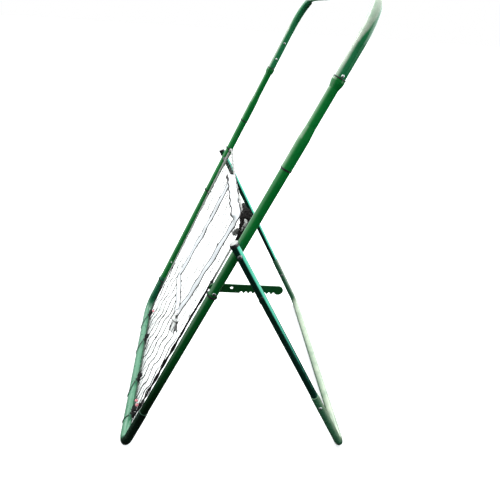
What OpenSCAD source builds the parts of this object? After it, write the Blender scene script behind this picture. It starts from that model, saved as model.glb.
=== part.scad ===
/* [Frame] */
// Distance between the two side rails, centre to centre
rail_span = 760; // [740:10:780]
// Length of the frame from the bottom bar's axis to the top bar's axis, along the rails
frame_len = 1421; // [1411:5:1431]
// Lean of the frame, measured from the floor
lean = 65; // [64:0.5:66]
// Outer diameter of the side tubes and the top tube
tube_d = 25.4; // [25.2:0.1:25.6]
// Outer diameter of the bottom tube
bar_d = 28.6; // [28.4:0.1:28.8]
// Outer diameter of the middle tubes above their sockets
upper_d = 23; // [22.8:0.1:23.2]
// Bend radius of the bottom tube, to its axis
bottom_bend = 56; // [52:2:60]
// Bend radius of the top tube, to its axis
top_bend = 106; // [100:2:112]

/* [Stand] */
// Distance along the rails from the bottom bar's axis to the stand's pivots
pivot_s = 796; // [792:1:800]
// Length of the stand from the pivots to its foot bar's axis
stand_len = 816; // [812:1:820]
// Distance between the stand's legs, centre to centre
leg_span = 813.2; // [813:0.1:814]
// Outer diameter of the stand's legs
leg_d = 22; // [21.8:0.1:22.2]
// Outer diameter of the stand's foot tube
foot_d = 25.4; // [25.2:0.1:25.6]
// Bend radius of the stand's foot tube, to its axis
stand_bend = 38; // [34:2:42]

/* [Notched bar] */
// Distance along the rail from the bottom bar's axis to the notched bar's pivot
bar_s = 658; // [657:0.5:659]
// Angle of the notched bar, negative when its free end is lower
bar_angle = -3.2; // [-3.4:0.1:-3]
// Distance from the bar's pivot to the catch pin that it rests on
catch_at = 124.6; // [124.4:0.1:124.8]
// Distance between neighbouring notches
notch_pitch = 12.4; // [12.2:0.1:12.6]
// Radius of the round hole in the bar
tether_hole_r = 4; // [3.5:0.25:4.25]

/* [Net] */
// Height of the net's top edge, along the rails
net_top = 850; // [846:1:854]
// From the middle to the net's right edge, at its top
net_half = 319; // [316:1:321]
// From the middle to the net's right edge, at its foot
net_foot_half = 282; // [278:1:286]
// From the middle to the net's left edge, at its top
net_left = 353; // [350:1:354]
// From the middle to the net's left edge, at its foot
net_foot_left = 346; // [343:1:348]
// Diameter of the rope round the net
rope_d = 6; // [5:0.5:6]
// Diameter of the lashing cord round the bottom bar
lash_d = 3; // [2.5:0.1:3]

/* [Hidden] */
$fn = 48;
wall = 1.2;
rx = rail_span / 2;
lx = leg_span / 2;
tr = tube_d / 2;
br = bar_d / 2;
ur = upper_d / 2;
lr = leg_d / 2;
fr = foot_d / 2;
lash_r = lash_d / 2;
rope_r = rope_d / 2;
// The bottom bar stands on the lashing cord that passes under it
bar_z = br + lash_d + 0.1;
// Joints in the side rails: [right, left]
bottom_seam = 178;
mid_seam = [1027, 962];
top_seam = [1240, 1170];
// Snap buttons
bottom_button = 267;
top_button = [1247, 1207];
stand_seam = 548;
stand_bolt = [595, 633];
// Points in the plane of the side view, from the bottom bar's axis
pivot_y = pivot_s * cos(lean);
pivot_z = pivot_s * sin(lean);
bp_y = bar_s * cos(lean);
bp_z = bar_s * sin(lean);
stand_angle = acos((pivot_z + bar_z - fr) / stand_len);
foot_y = pivot_y + stand_len * sin(stand_angle);
// The box's centre is at Y = 0
y_shift = -((foot_y + fr) + (-br - lash_d)) / 2;
// Notched bar
bar_h = 26;
bar_t = 3;
bar_x = rx - 20.5;
notch_r = 6.73;
notch_w = 5.6;
pin_r = 4;
pin_drop = 1.7;
// Bolt that holds the catch plate, measured down the leg
catch_bolt_t = 134;
// Reduced ends of the upper tubes
neck_r = ur - wall - 0.2;
// Catch pin, in the stand's own frame
pin_y0 = bp_y + catch_at * cos(bar_angle) + (bar_h / 2 + pin_drop) * sin(bar_angle);
pin_z0 = bp_z + catch_at * sin(bar_angle) - (bar_h / 2 + pin_drop) * cos(bar_angle);
pin_q = (pin_y0 - pivot_y) * cos(stand_angle) + (pin_z0 - pivot_z) * sin(stand_angle);
pin_t = -(pin_y0 - pivot_y) * sin(stand_angle) + (pin_z0 - pivot_z) * cos(stand_angle);

// Placement of the leaning frame: X along the bottom bar, Y behind the frame, Z along the rails
module frame_pose() { translate([0, y_shift, bar_z]) rotate([lean - 90, 0, 0]) children(); }
// Placement of the stand: origin at the pivots' axis, Z up along the legs
module stand_pose() { translate([0, y_shift + pivot_y, bar_z + pivot_z]) rotate([stand_angle, 0, 0]) children(); }
// Placement of the notched bar: origin at its pivot, Y towards its free end
module bar_pose() { translate([0, y_shift + bp_y, bar_z + bp_z]) rotate([bar_angle, 0, 0]) children(); }
// A cylinder along X from x0 to x1
module xcyl(r, x0, x1) { translate([x0, 0, 0]) rotate([0, 90, 0]) cylinder(r = r, h = x1 - x0); }
// A hexagonal bar along X
module xhex(af, x0, x1) { translate([x0, 0, 0]) rotate([0, 90, 0]) cylinder(r = af / 2 / cos(30), h = x1 - x0, $fn = 6); }
// A flat ring along X
module xring(r, ri, x0, x1) { difference() { xcyl(r, x0, x1); xcyl(ri, x0 - 1, x1 + 1); } }
// A cylinder along Z from z0 to z1
module zcyl(r, x, z0, z1) { translate([x, 0, z0]) cylinder(r = r, h = z1 - z0); }
// A bend in the XZ plane between two angles, measured from +X down towards -Z
module arc(r, bend, a0, a1) { rotate([-90, 0, 0]) rotate([0, 0, a0]) rotate_extrude(angle = a1 - a0) translate([bend, 0]) circle(r = r); }
module bend_down(r, bend) { arc(r, bend, 0, 90); }
// A round rod from p to q
module rod(p, q, r) {
    v = q - p;
    translate(p) rotate([0, acos(v[2] / norm(v)), atan2(v[1], v[0])]) cylinder(r = r, h = norm(v));
}
// A round bar bent to a U that opens upward: its floor at z = 0, its arms at +-xh up to z = top
module u_up(r, bend, xh, top_r, top_l) {
    for (s = [1, -1]) {
        translate([s * (xh - bend), 0, bend]) mirror([s > 0 ? 0 : 1, 0, 0]) bend_down(r, bend);
        zcyl(r, s * xh, bend, s > 0 ? top_r : top_l);
    }
    xcyl(r, -(xh - bend), xh - bend);
}
// A domed snap button that points along +X, its shoulder at x = 0 on the tube's outside
module snap_button() {
    rotate([0, 90, 0]) rotate_extrude()
        polygon(concat([[0, -6.5], [3.4, -6.5], [3.4, 0]],
            [for (a = [15:15:90]) [3.4 * cos(a), 2.6 * sin(a)]]));
}
// A leaf spring bent to a V that pushes a button out along +X; r is the bore's radius
module leaf_spring(r, reach) {
    t = 0.8;
    top = reach - 6.6;
    rotate([90, 0, 0]) translate([0, 0, -3]) linear_extrude(height = 6)
        polygon([[top, 5], [top, -5], [-r + 2.4, -44], [-r + 1.2, -44], [-r + 1.2, 4], [-r + 1.2 + t, 4], [-r + 1.2 + t, -40], [top - t, -4.6], [top - t, 5]]);
}
// A round-headed rivet along +X on a tube of radius r
module rivet(r, head) { rotate([0, 90, 0]) rotate_extrude() polygon(concat([[0, r - 2.2], [1.6, r - 2.2], [1.6, r - 0.3], [head, r - 0.3]], [for (a = [18:18:90]) [head * cos(a), r + 1.8 * sin(a)]])); }

// Bottom tube: the bar in front on the floor and a short upright at each end, reduced where it enters the side rails
module bottom_u_tube() {
    color([0.02, 0.33, 0.16]) frame_pose() difference() {
        union() {
            u_up(br, bottom_bend, rx, bottom_seam, bottom_seam);
            for (s = [1, -1]) zcyl(11.3, s * rx, bottom_seam, 290);
        }
        u_up(br - wall, bottom_bend, rx, bottom_seam - 6, bottom_seam - 6);
        for (s = [1, -1]) {
            zcyl(10.1, s * rx, bottom_seam - 6, 291);
            translate([s * rx, 0, bottom_button]) xcyl(3.5, s > 0 ? -14 : 0, s > 0 ? 0 : 14);
        }
        translate([rx, 0, ties[0][0]]) xcyl(2.6, -16, 0);
    }
}
// Lower side tube; i is 0 on the right, 1 on the left
module lower_tube(i) {
    s = i == 0 ? 1 : -1;
    color([0.02, 0.35, 0.17]) frame_pose() difference() {
        zcyl(tr, s * rx, bottom_seam + 0.5, mid_seam[i] + 64);
        zcyl(tr - wall, s * rx, bottom_seam - 1, mid_seam[i] + 66);
        translate([s * rx, 0, bottom_button]) xcyl(3.5, s > 0 ? -14 : 0, s > 0 ? 0 : 14);
        translate([s * rx, 0, pivot_s]) xcyl(4, -14, 14);
        if (i == 0) translate([s * rx, 0, bar_s]) xcyl(3, -14, 14);
        if (i == 0) translate([rx, 0, ties[2][0]]) xcyl(2.6, -14, 0);
    }
}
module lower_tube_right() { lower_tube(0); }
module lower_tube_left() { lower_tube(1); }
// Middle side tube: a socket over the lower tube's end, and a flared mouth at its own top
module middle_tube(i) {
    s = i == 0 ? 1 : -1;
    a = mid_seam[i];
    b = top_seam[i];
    color([0.02, 0.35, 0.17]) frame_pose() translate([s * rx, 0, 0]) rotate_extrude() polygon([
        [tr + 0.1, a], [tr + 0.9, a], [tr + 0.9, a + 74], [ur, a + 104],
        [ur, b - 21], [tr + 1.6, b - 10.5], [tr + 2.2, b - 5], [tr + 1.8, b],
        [tr + 0.2, b], [tr + 0.2, b - 10.5], [ur - wall, b - 23], [ur - wall, a + 104],
        [tr + 0.1, a + 74]]);
}
module middle_tube_right() { middle_tube(0); }
module middle_tube_left() { middle_tube(1); }
// Top tube, reduced where it enters the middle tubes
module top_u_tube() {
    tl = frame_len;
    color([0.05, 0.42, 0.24]) frame_pose() difference() {
        union() {
            translate([0, 0, tl]) mirror([0, 0, 1]) u_up(tr, top_bend, rx, tl - top_seam[0] + 9, tl - top_seam[1] + 9);
            zcyl(neck_r, rx, top_seam[0] - 95, top_seam[0] - 9);
            zcyl(neck_r, -rx, top_seam[1] - 95, top_seam[1] - 9);
        }
        translate([0, 0, tl]) mirror([0, 0, 1]) u_up(tr - wall, top_bend, rx, tl - top_seam[0] + 3, tl - top_seam[1] + 3);
        zcyl(neck_r - wall, rx, top_seam[0] - 96, top_seam[0] - 3);
        zcyl(neck_r - wall, -rx, top_seam[1] - 96, top_seam[1] - 3);
        translate([rx, 0, top_button[0]]) xcyl(3.5, 0, 14);
        translate([-rx, 0, top_button[1]]) xcyl(3.5, 0, 14);
        translate([-rx, 0, 1265]) xcyl(1.6, 0, 14);
        translate([rx, 0, 1300]) xcyl(1.6, -14, 0);
    }
}
// Rivets in the top tube's arms
module top_rivets() {
    color([0.8, 0.82, 0.8]) frame_pose() {
        translate([-rx, 0, 1265]) rivet(tr + 0.3, 3.6);
        translate([rx, 0, 1300]) mirror([1, 0, 0]) rivet(tr + 0.3, 3.6);
    }
}
// Black plastic collars: one under each middle tube's socket, one on each middle tube's flared mouth
module seam_rings() {
    color([0.03, 0.03, 0.03]) frame_pose() for (i = [0, 1]) translate([i == 0 ? rx : -rx, 0, 0]) {
        translate([0, 0, mid_seam[i] - 4.1]) rotate_extrude() polygon([[tr + 0.05, 0], [tr + 0.9, 0], [tr + 1.5, 0.8], [tr + 1.5, 4], [tr + 0.05, 4]]);
        translate([0, 0, top_seam[i] + 0.1]) rotate_extrude() polygon([[tr + 0.05, 0], [tr + 2, 0], [tr + 2, 1.8], [tr + 1.4, 2.7], [tr + 0.05, 2.7]]);
    }
}
module bottom_button_right() { color([0.85, 0.87, 0.85]) frame_pose() translate([rx - tr, 0, bottom_button]) mirror([1, 0, 0]) snap_button(); }
module bottom_button_left() { color([0.85, 0.87, 0.85]) frame_pose() translate([-rx + tr, 0, bottom_button]) snap_button(); }
module top_button_right() { color([0.85, 0.87, 0.85]) frame_pose() translate([rx + tr, 0, top_button[0]]) snap_button(); }
module top_button_left() { color([0.85, 0.87, 0.85]) frame_pose() translate([-rx + tr, 0, top_button[1]]) snap_button(); }
module bottom_spring_right() { color([0.5, 0.5, 0.52]) frame_pose() translate([rx, 0, bottom_button]) mirror([1, 0, 0]) leaf_spring(10.1, tr); }
module bottom_spring_left() { color([0.5, 0.5, 0.52]) frame_pose() translate([-rx, 0, bottom_button]) leaf_spring(10.1, tr); }
module top_spring_right() { color([0.5, 0.5, 0.52]) frame_pose() translate([rx, 0, top_button[0]]) mirror([0, 0, 1]) leaf_spring(tr - wall, tr); }
module top_spring_left() { color([0.5, 0.5, 0.52]) frame_pose() translate([-rx, 0, top_button[1]]) mirror([0, 0, 1]) leaf_spring(tr - wall, tr); }

// Stand leg: bored for its pivot; the right one has a plate for the catch pin
module stand_leg(s) {
    color([0.02, 0.24, 0.14]) stand_pose() difference() {
        union() {
            difference() {
                union() {
                    zcyl(lr, s * lx, -stand_seam - 108, s > 0 ? 27 : 20);
                    if (s > 0) translate([lx - lr - 3.4, 0, 0]) rotate([90, 0, 90]) linear_extrude(height = 3.6)
                        polygon([[pin_q - 5.5, pin_t + 5], [pin_q - 5.5, pin_t - 5], [-4, pin_t - 24], [5.5, pin_t - 24], [5.5, 7 - catch_bolt_t], [-6, 7 - catch_bolt_t], [pin_q - 2, pin_t + 7.5]]);
                }
                zcyl(lr - wall, s * lx, -stand_seam - 109, 28);
            }
        }
        xcyl(4.05, s * lx - 20, s * lx + 20);
        translate([0, 0, -stand_bolt[s > 0 ? 0 : 1]]) xcyl(3, s * lx - 20, s * lx + 20);
        if (s > 0) translate([0, pin_q, pin_t]) xcyl(pin_r, lx - 20, lx - lr - 1);
        if (s > 0) translate([0, 0, -catch_bolt_t]) xcyl(2.55, lx - 20, lx + 20);
    }
}
module stand_leg_right() { stand_leg(1); }
module stand_leg_left() { stand_leg(-1); }
// Stand's foot tube: the foot bar behind on the floor and an upright at each end, over the legs' ends
module stand_u_tube() {
    color([0.04, 0.3, 0.18]) stand_pose() difference() {
        translate([0, 0, -stand_len]) u_up(fr, stand_bend, lx, stand_len - stand_seam, stand_len - stand_seam);
        translate([0, 0, -stand_len]) u_up(fr - 1.5, stand_bend, lx, stand_len - stand_seam + 1, stand_len - stand_seam + 1);
        for (s = [1, -1]) translate([0, 0, -stand_bolt[s > 0 ? 0 : 1]]) xcyl(3, s * lx - 20, s * lx + 20);
    }
}
// Plastic plugs in the legs' upper ends
module leg_caps() {
    color([0.03, 0.03, 0.03]) stand_pose() for (s = [1, -1]) translate([s * lx, 0, s > 0 ? 0 : -7]) rotate_extrude()
        polygon([[0, 12], [lr - wall - 1.2, 12], [lr - wall, 14], [lr - wall, 27], [lr + 0.6, 27], [lr + 0.6, 34], [lr - 0.8, 36.5], [5, 37.6], [0, 37.8]]);
}
// Bolts through the stand's joints, each with a domed head outside
module stand_joint_bolts() {
    color([0.75, 0.77, 0.76]) stand_pose() for (s = [1, -1]) translate([s * lx, 0, -stand_bolt[s > 0 ? 0 : 1]]) mirror([s > 0 ? 0 : 1, 0, 0]) {
        xcyl(2.95, -fr - 5.4, fr + 0.2);
        rotate([0, 90, 0]) rotate_extrude() polygon(concat([[0, fr + 0.1], [5.4, fr + 0.1]], [for (a = [0:18:90]) [5.4 * cos(a), fr + 0.6 + 2.6 * sin(a)]]));
    }
}
module stand_joint_nuts() {
    color([0.7, 0.72, 0.72]) stand_pose() for (s = [1, -1]) translate([s * lx, 0, -stand_bolt[s > 0 ? 0 : 1]]) mirror([s > 0 ? 0 : 1, 0, 0])
        difference() { xhex(10, -fr - 5.2, -fr - 0.1); xcyl(2.95, -20, 0); }
}
// Catch pin on the right leg, on which the notched bar rests
module catch_pin() {
    color([0.04, 0.05, 0.05]) stand_pose() translate([0, pin_q, pin_t]) {
        xcyl(pin_r, bar_x - 6, lx - lr - 1);
        rotate([0, 90, 0]) translate([0, 0, bar_x - 8]) cylinder(r = pin_r + 1.2, h = 3);
    }
}
// Bolt through the right leg that holds the catch plate, with a low domed head outside
module catch_bolt() {
    color([0.03, 0.03, 0.03]) stand_pose() translate([0, 0, -catch_bolt_t]) {
        xcyl(2.5, lx - lr - 3.4, lx + lr + 0.2);
        rotate([0, 90, 0]) rotate_extrude() polygon(concat([[0, lx + lr + 0.1], [4.8, lx + lr + 0.1]], [for (a = [0:18:90]) [4.8 * cos(a), lx + lr + 0.5 + 2.2 * sin(a)]]));
    }
}
// Pivot bolts, fixed in the rails, on which the stand's legs turn
module pivot_bolts() {
    color([0.75, 0.77, 0.76]) frame_pose() for (s = [1, -1]) translate([0, 0, pivot_s]) mirror([s > 0 ? 0 : 1, 0, 0]) {
        xcyl(4, rx - 23, lx + lr + 2);
        rotate([0, 90, 0]) rotate_extrude() polygon(concat([[0, lx + lr + 1.6], [5.4, lx + lr + 1.6]], [for (a = [0:15:90]) [5.4 * cos(a), lx + lr + 2.2 + 2.3 * sin(a)]]));
    }
}
module pivot_nuts() {
    color([0.7, 0.72, 0.72]) frame_pose() for (s = [1, -1]) translate([0, 0, pivot_s]) mirror([s > 0 ? 0 : 1, 0, 0])
        difference() { xhex(13, rx - tr - 7.9, rx - tr - 1.3); xcyl(4, 0, 500); }
}
// Nylon spacers between each rail and its leg
module pivot_spacers() {
    color([0.05, 0.05, 0.05]) frame_pose() for (s = [1, -1]) translate([0, 0, pivot_s]) mirror([s > 0 ? 0 : 1, 0, 0])
        xring(9, 4.05, rx + tr + 0.1, lx - lr - 0.3);
}
module pivot_washers() {
    color([0.7, 0.72, 0.72]) frame_pose() for (s = [1, -1]) translate([0, 0, pivot_s]) mirror([s > 0 ? 0 : 1, 0, 0]) {
        xring(6.8, 4.05, lx + lr + 0.3, lx + lr + 1.5);
        xring(8.5, 4.05, rx - tr - 1.2, rx - tr - 0.05);
    }
}

// Notched bar: a flat plate that turns on the right rail, with round notches along its lower edge
module notched_bar() {
    color([0.02, 0.22, 0.12]) bar_pose() translate([bar_x, 0, 0]) difference() {
        rotate([90, 0, 90]) translate([0, 0, -bar_t / 2]) linear_extrude(height = bar_t) difference() {
            union() {
                circle(r = bar_h / 2 - 0.6);
                translate([0, -bar_h / 2]) square([172, bar_h - 0]);
                translate([172, -0.5]) circle(r = bar_h / 2 + 0.5);
            }
            for (k = [-4:3]) translate([catch_at - 1.3 + k * notch_pitch, -bar_h / 2]) {
                translate([0, -3.73]) circle(r = notch_r);
                translate([0, 2.6]) circle(r = 3);
            }
        }
        xcyl(3.05, -5, 5);
        translate([0, 47, 2]) xcyl(tether_hole_r, -5, 5);
    }
}
module bar_bolt() {
    color([0.75, 0.77, 0.76]) frame_pose() translate([0, 0, bar_s]) {
        xcyl(3, bar_x - bar_t / 2 - 7.2, rx + tr + 1);
        rotate([0, 90, 0]) rotate_extrude() polygon(concat([[0, rx + tr + 0.1], [5.5, rx + tr + 0.1]], [for (a = [0:18:90]) [5.5 * cos(a), rx + tr + 0.6 + 2.4 * sin(a)]]));
    }
}
module bar_nut() {
    color([0.7, 0.72, 0.72]) frame_pose() translate([0, 0, bar_s])
        difference() { xhex(10, bar_x - bar_t / 2 - 5.6, bar_x - bar_t / 2 - 0.5); xcyl(3, 0, 500); }
}
// Washer stack between the rail and the notched bar
module bar_washer() {
    color([0.05, 0.05, 0.05]) frame_pose() translate([0, 0, bar_s]) xring(8, 3.05, bar_x + bar_t / 2 + 0.3, rx - tr - 0.05);
}

// Placement of the net: it hangs from its top edge and its foot lies behind the bottom bar
rope_z = br + rope_r + 0.3;
rope_dir = 37;
net_low = rope_z * cos(rope_dir);
net_tilt = asin(rope_z * sin(rope_dir) / (net_top - net_low));
module net_pose() { frame_pose() translate([0, 0, net_top]) rotate([net_tilt, 0, 0]) translate([0, 0, -net_top]) children(); }
// Each side of the net is [at the foot, at the top, lower corner's radius]; s is 1 on the right, -1 on the left
high_r = 14;
function side(s) = s > 0 ? [net_foot_half, net_half, 20] : [net_foot_left, net_left, 50];
function side_lean(s) = atan((side(s)[1] - side(s)[0]) / (net_top - net_low));
function side_x(s, z) = side(s)[0] + (z - net_low) * tan(side_lean(s));
function net_y(z) = (net_top - z) * sin(net_tilt);
function low_c(s) = let (r = side(s)[2]) [side_x(s, net_low + r) - r / cos(side_lean(s)), net_low + r];
function high_c(s) = [side_x(s, net_top - high_r) - high_r / cos(side_lean(s)), net_top - high_r];
function out(s) = [cos(side_lean(s)), -sin(side_lean(s))];
// One half of the net's outline; e is the inset from the border rope's axis
module net_half_outline(s, e) {
    r = side(s)[2];
    c = low_c(s);
    h = high_c(s);
    mirror([s > 0 ? 0 : 1, 0]) {
        polygon([[-1, net_low + e], c + [0, e - r], c + (r - e) * out(s), h + (high_r - e) * out(s), h + [0, high_r - e], [-1, net_top - e]]);
        translate(c) circle(r = r - e);
        translate(h) circle(r = high_r - e);
    }
}
module net_outline(e) {
    net_half_outline(1, e);
    net_half_outline(-1, e);
}
// Net: a flat panel of knotted netting inside its border rope
module net_panel() {
    color([0.08, 0.08, 0.08]) net_pose() translate([0, 1.5, 0]) rotate([90, 0, 0]) linear_extrude(height = 3) difference() {
        net_outline(rope_r + 0.3);
        translate([-net_left, 0]) square([net_left + net_half, net_low + rope_r + lash_d + 2]);
    }
}
// A closed tube of changing radius through points: p = [x, y, z, r], in the frame's own axes
function unit(v) = v / norm(v);
function sweep_ring(p, i, n) = let (
    a = i == 0 ? p[0] : p[i - 1], b = i == len(p) - 1 ? p[i] : p[i + 1],
    t = unit([b[0] - a[0], b[1] - a[1], b[2] - a[2]]),
    u = unit(cross(t, abs(t[1]) < 0.9 ? [0, 1, 0] : [0, 0, 1])), w = cross(t, u))
    [for (k = [0:n - 1]) [p[i][0], p[i][1], p[i][2]] + p[i][3] * (cos(360 * k / n) * u + sin(360 * k / n) * w)];
module sweep(p, n) {
    m = len(p);
    polyhedron(
        points = [for (i = [0:m - 1]) each sweep_ring(p, i, n)],
        faces = concat([[for (k = [0:n - 1]) k]], [[for (k = [n - 1:-1:0]) (m - 1) * n + k]],
            [for (i = [0:m - 2]) for (k = [0:n - 1]) let (k2 = (k + 1) % n) each [[i * n + k, (i + 1) * n + k, i * n + k2], [(i + 1) * n + k, (i + 1) * n + k2, i * n + k2]]]),
        convexity = 10);
}
// A ring of cord through points, without ends
module sweep_loop(p, n) {
    m = len(p);
    function ring(i) = let (a = p[(i + m - 1) % m], b = p[(i + 1) % m], t = unit([b[0] - a[0], b[1] - a[1], b[2] - a[2]]), u = unit(cross(t, [0, 1, 0])), w = cross(t, u))
        [for (k = [0:n - 1]) [p[i][0], p[i][1], p[i][2]] + p[i][3] * (cos(360 * k / n) * u + sin(360 * k / n) * w)];
    polyhedron(
        points = [for (i = [0:m - 1]) each ring(i)],
        faces = [for (i = [0:m - 1]) for (k = [0:n - 1]) let (i2 = (i + 1) % m, k2 = (k + 1) % n) each [[i * n + k, i2 * n + k, i * n + k2], [i2 * n + k, i2 * n + k2, i * n + k2]]],
        convexity = 10);
}
// Rope round the net, along the bottom bar, the two sides and the top
function rope_side(s) = let (r = side(s)[2], l = side_lean(s)) concat(
    [for (k = [0:6]) let (a = 90 + (l - 90) * k / 6) low_c(s) + r * [cos(a), -sin(a)]],
    [for (k = [0:6]) let (a = l - (90 + l) * k / 6) high_c(s) + high_r * [cos(a), -sin(a)]]);
rope_path = concat(rope_side(1), [for (k = [13:-1:0]) [-rope_side(-1)[k][0], rope_side(-1)[k][1]]]);
module net_border_rope() {
    color([0.03, 0.03, 0.03]) net_pose() sweep_loop([for (q = rope_path) [q[0], 0, q[1], rope_r]], 16);
}
// Netting gathered round the rope at the net's upper right corner: [x, y, z, r]
bunch = [[321, 2, 792, 5], [319, 3, 804, 8], [313, 4, 818, 12], [303, 4, 831, 15], [289, 4, 842, 17], [273, 4, 849, 16],
    [257, 3, 851, 13], [238, 2, 851, 9.5], [215, 1, 850, 7.5], [180, 0, 850, 6], [140, 0, 850, 5.2], [100, 0, 850, 4.6]];
module gathered_net() { color([0.05, 0.045, 0.045]) net_pose() sweep(bunch, 10); }
// Woven ribbon laced to the net as a target, a flat frame on the net's front
ribbon_w = 22;
module target_ribbon() {
    color([0.93, 0.94, 0.95]) net_pose() translate([0, -2.9, 0]) rotate([90, 0, 0]) linear_extrude(height = 1) difference() {
        polygon([[-156, 343], [130, 355], [259, 836], [-80, 848]]);
        polygon([[-156 + ribbon_w + 4, 343 + ribbon_w], [130 - ribbon_w + 2, 355 + ribbon_w], [259 - ribbon_w - 4, 836 - ribbon_w], [-80 + ribbon_w - 4, 848 - ribbon_w]]);
    }
}
// Knot of the ribbon's ends at its lower near corner
module ribbon_knot() {
    color([0.93, 0.94, 0.95]) net_pose() translate([120, -8.4, 356]) sphere(r = 4.2);
}

// Lashing cord: each turn goes round the net's rope and, on a slant, round the bottom bar: [start, slant]
lashes = [[-270, 56], [-107, 52], [113, 56], [266, 14]];
lash_c = br + lash_r + 0.1;
lash_o = rope_r + lash_r + 0.3;
function turn_pt(x, slant, k) = k <= 3
    ? let (a = [75, 25, -25, -72][k]) [x + 2 * k, -lash_o * sin(a), rope_z + lash_o * cos(a), lash_r]
    : let (a = -72 - (k - 3) * 24, t = (k - 3) / 10)
        [x + 6 * (1 - t) + slant * sin(180 * pow(t, 1.3)), -lash_c * sin(a), lash_c * cos(a), lash_r];
module bar_lashing() {
    color([0.04, 0.04, 0.04]) frame_pose() rotate([-rope_dir, 0, 0]) for (l = lashes) sweep([for (k = [0:13]) turn_pt(l[0], l[1], k)], 8);
}
// Ties between the rails and the net's rope: [height on the rail, height on the rope].
// Each is a turn of cord round the rail and a link; two on the right go through a hole in the rail and end in a knot inside it
ties = [[158, 120], [642, 642], [838, 834]];
function rail_r(z) = z < bottom_seam ? br : tr;
function tie_end(s, h) = [side_x(s, h[1]) + rope_r + 2, net_y(h[1]), h[1]];
module side_ties() {
    color([0.04, 0.04, 0.04]) frame_pose() {
        for (s = [1, -1]) for (h = ties) if (s < 0 || h[0] == ties[1][0]) mirror([s > 0 ? 0 : 1, 0, 0]) {
            translate([rx, 0, h[0]]) rotate_extrude() translate([rail_r(h[0]) + 1.6, 0]) circle(r = 1.5);
            rod([rx - rail_r(h[0]) - 1.9, 0, h[0]], tie_end(s, h), 1.5);
        }
        for (h = [ties[0], ties[2]]) {
            hole = [rx - rail_r(h[0]) + 0.6, 0, h[0]];
            knot = hole + 6.5 * unit(hole - tie_end(1, h));
            rod(knot, tie_end(1, h), 1.5);
            translate(knot) sphere(r = 4);
        }
    }
}
// Knots of the lashing, beside each turn
module tie_knots() {
    color([0.04, 0.04, 0.04]) frame_pose() for (l = lashes) translate([l[0] - 8, 2, 21.5]) sphere(r = 6);
}
// Beads on the tie ends, in front of the net
module tie_beads() {
    color([0.9, 0.45, 0.5]) frame_pose() for (p = [[-220, 2, 94], [263, -3.8, 86], [274.6, 2, 79.4]]) translate(p) sphere(r = 5);
}

bottom_u_tube();
lower_tube_right();
lower_tube_left();
middle_tube_right();
middle_tube_left();
top_u_tube();
top_rivets();
seam_rings();
bottom_button_right();
bottom_button_left();
bottom_spring_right();
bottom_spring_left();
top_button_right();
top_button_left();
top_spring_right();
top_spring_left();
stand_leg_right();
stand_leg_left();
stand_u_tube();
leg_caps();
stand_joint_bolts();
stand_joint_nuts();
catch_pin();
catch_bolt();
pivot_bolts();
pivot_nuts();
pivot_spacers();
pivot_washers();
notched_bar();
bar_bolt();
bar_nut();
bar_washer();
net_panel();
net_border_rope();
gathered_net();
target_ribbon();
ribbon_knot();
bar_lashing();
side_ties();
tie_knots();
tie_beads();
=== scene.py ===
import math
import bpy
import numpy as np
from mathutils import Matrix, Vector


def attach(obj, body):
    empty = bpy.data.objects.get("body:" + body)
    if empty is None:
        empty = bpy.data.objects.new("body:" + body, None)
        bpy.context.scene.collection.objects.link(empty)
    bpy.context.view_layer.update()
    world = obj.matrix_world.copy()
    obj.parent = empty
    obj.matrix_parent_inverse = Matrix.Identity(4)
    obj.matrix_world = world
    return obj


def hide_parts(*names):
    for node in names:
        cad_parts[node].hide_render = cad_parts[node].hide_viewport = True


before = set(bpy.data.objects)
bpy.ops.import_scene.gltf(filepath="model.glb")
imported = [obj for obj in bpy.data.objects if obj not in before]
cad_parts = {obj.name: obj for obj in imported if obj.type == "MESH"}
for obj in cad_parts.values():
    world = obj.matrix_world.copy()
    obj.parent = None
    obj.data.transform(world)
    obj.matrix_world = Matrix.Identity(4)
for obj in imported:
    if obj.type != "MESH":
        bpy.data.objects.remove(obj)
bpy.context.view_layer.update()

RNG = np.random.default_rng(7)

# ---------------------------------------------------------------- the shared frame
SA, CA = math.sin(math.radians(65)), math.cos(math.radians(65))
Y0, Z0 = -352.05006, 17.4


def W(p):
    """Frame-local millimetres (along the bottom bar, behind the net, along the rails) to metres in the row frame."""
    p = np.asarray(p, float)
    x, y, z = p[..., 0], p[..., 1], p[..., 2]
    return np.stack([x, Y0 + y * SA + z * CA, Z0 - y * CA + z * SA], -1) / 1000


# ---------------------------------------------------------------- camera
cam_data = bpy.data.cameras.new("camera")
cam = bpy.data.objects.new("camera", cam_data)
bpy.context.scene.collection.objects.link(cam)
cam_data.sensor_width = 36
cam_data.lens = 30.6987
cam_data.clip_start, cam_data.clip_end = 0.02, 200
R_, D_, F_ = (0.096666, 0.993494, 0.060208), (0.484965, 0.00581, -0.874514), (-0.869174, 0.113734, -0.481249)
m = Matrix.Identity(4)
for i in range(3):
    m[i][0], m[i][1], m[i][2] = R_[i], -D_[i], -F_[i]
m[0][3], m[1][3], m[2][3] = 1.293153, -0.107347, 1.243999
cam.matrix_world = m
bpy.context.scene.camera = cam


# ---------------------------------------------------------------- node helpers
def new_mat(name):
    mat = bpy.data.materials.new(name)
    mat.use_nodes = True
    nt = mat.node_tree
    bsdf = next(n for n in nt.nodes if n.type == "BSDF_PRINCIPLED")
    return mat, nt, bsdf


def node(nt, kind, **kw):
    n = nt.nodes.new(kind)
    for k, v in kw.items():
        if k.startswith("i_"):
            n.inputs[k[2:].replace("_", " ")].default_value = v
        elif k.startswith("n_"):
            n.inputs[int(k[2:])].default_value = v
        else:
            setattr(n, k, v)
    return n


def link(nt, a, b):
    nt.links.new(a, b)


def obj_coords(nt):
    return node(nt, "ShaderNodeTexCoord").outputs["Object"]


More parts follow.
